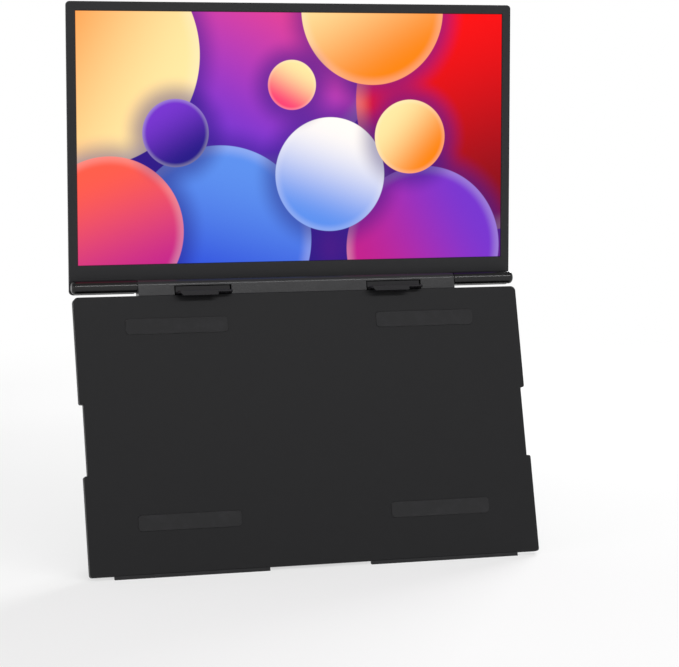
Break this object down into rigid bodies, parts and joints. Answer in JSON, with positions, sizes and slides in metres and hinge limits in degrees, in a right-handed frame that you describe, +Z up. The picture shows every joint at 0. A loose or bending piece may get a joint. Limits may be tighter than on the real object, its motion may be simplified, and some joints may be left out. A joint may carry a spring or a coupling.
{
  "type": "laptop screen extender",
  "caption": "Second screen hinged above a back plate that hooks over a laptop lid with sprung clips and stands on a folding rear leaf.",
  "frame": {"origin": "on the table, at the middle of the footprint between the front feet and the stand leaf's foot", "axes": "+X to the right of someone facing the screen, +Y away from them, +Z up"},
  "size_m": [0.3578, 0.1018, 0.4301],
  "materials": {
    "case_plastic": "fine matte dark charcoal moulding",
    "bezel_plastic": "fine matte charcoal front frame",
    "barrel_plastic": "satin charcoal hinge barrel",
    "housing_plastic": "satin mid grey hinge housing",
    "clip_plastic": "satin near-black clip",
    "button_plastic": "satin black key",
    "pad_rubber": "soft black silicone",
    "screen": null,
    "clear_sheet": "clear acrylic sheet",
    "led_strip": "pale light strip",
    "tray_aluminium": "plain sheet",
    "leaf_aluminium": "anodised dark charcoal",
    "sheet_steel": "plain cold-rolled sheet",
    "bright_steel": "plated bright steel",
    "dark_steel": "black-zinc plated screw",
    "circuit_board": "green solder mask",
    "chip_resin": "black moulded resin",
    "flex_film": "amber flexible film"
  },
  "bodies": {
    "plate": {"hinge_housing": "housing_plastic", "plate_front_cover": "case_plastic", "plate_rear_cover": "case_plastic", "stiffener_sheet": "sheet_steel", "lid_pads": "pad_rubber", "plate_feet": "pad_rubber", "friction_sleeves": "sheet_steel", "clip_rods": "bright_steel", "clip_springs": "bright_steel", "stand_pins": "bright_steel", "stand_washers": "bright_steel", "cover_screws": "dark_steel", "flange_screws": "dark_steel"},
    "display": {"display_bezel": "bezel_plastic", "display_rear_cover": "case_plastic", "lcd_panel": "screen", "light_guide": "clear_sheet", "led_bar": "led_strip", "panel_tray": "tray_aluminium", "electronics_cover": "case_plastic", "driver_board": "circuit_board", "board_chips": "chip_resin", "usb_c_ports": "bright_steel", "hdmi_port": "bright_steel", "speakers": "chip_resin", "panel_ribbon": "flex_film", "button_board": "circuit_board", "button_switches": "bright_steel", "board_screws": "dark_steel", "pod_screws": "dark_steel", "hinge_barrel_left": "barrel_plastic", "hinge_barrel_right": "barrel_plastic", "barrel_caps": "barrel_plastic", "hinge_shafts": "bright_steel", "spring_washers": "bright_steel", "shaft_nuts": "bright_steel", "barrel_screws": "dark_steel", "rocker_pin": "bright_steel"},
    "stand": {"stand_leaf": "leaf_aluminium", "stand_foot": "pad_rubber"},
    "clip_left": {"clip_left": "clip_plastic", "clip_pad_left": "pad_rubber"},
    "clip_right": {"clip_right": "clip_plastic", "clip_pad_right": "pad_rubber"},
    "power_button": {"power_button": "button_plastic"},
    "menu_rocker": {"menu_rocker": "button_plastic"}
  },
  "joints": [
    {"name": "display_tilt", "type": "hinge", "parent": "plate", "child": "display", "pos_m": [0, 0.01494, 0.2134], "axis": [-1, 0, 0], "range_deg": [-112, 55]},
    {"name": "stand_fold", "type": "hinge", "parent": "plate", "child": "stand", "pos_m": [0, 0.00466, 0.17682], "axis": [1, 0, 0], "range_deg": [-30, 0]},
    {"name": "clip_left_pull", "type": "slide", "parent": "plate", "child": "clip_left", "axis": [0, -0.9627, 0.2706], "range_m": [0, 0.003], "stiffness_N_per_m": 1500, "springref_m": -0.002},
    {"name": "clip_right_pull", "type": "slide", "parent": "plate", "child": "clip_right", "axis": [0, -0.9627, 0.2706], "range_m": [0, 0.003], "stiffness_N_per_m": 1500, "springref_m": -0.002},
    {"name": "power_press", "type": "slide", "parent": "display", "child": "power_button", "axis": [1, 0, 0], "range_m": [0, 0.0004], "stiffness_N_per_m": 1500, "springref_m": -0.0003},
    {"name": "rocker_tilt", "type": "hinge", "parent": "display", "child": "menu_rocker", "pos_m": [-0.1194, 0.02969, 0.2454], "axis": [0, 1, 0], "range_deg": [-3, 3], "stiffness_Nm_per_rad": 0.2}
  ]
}
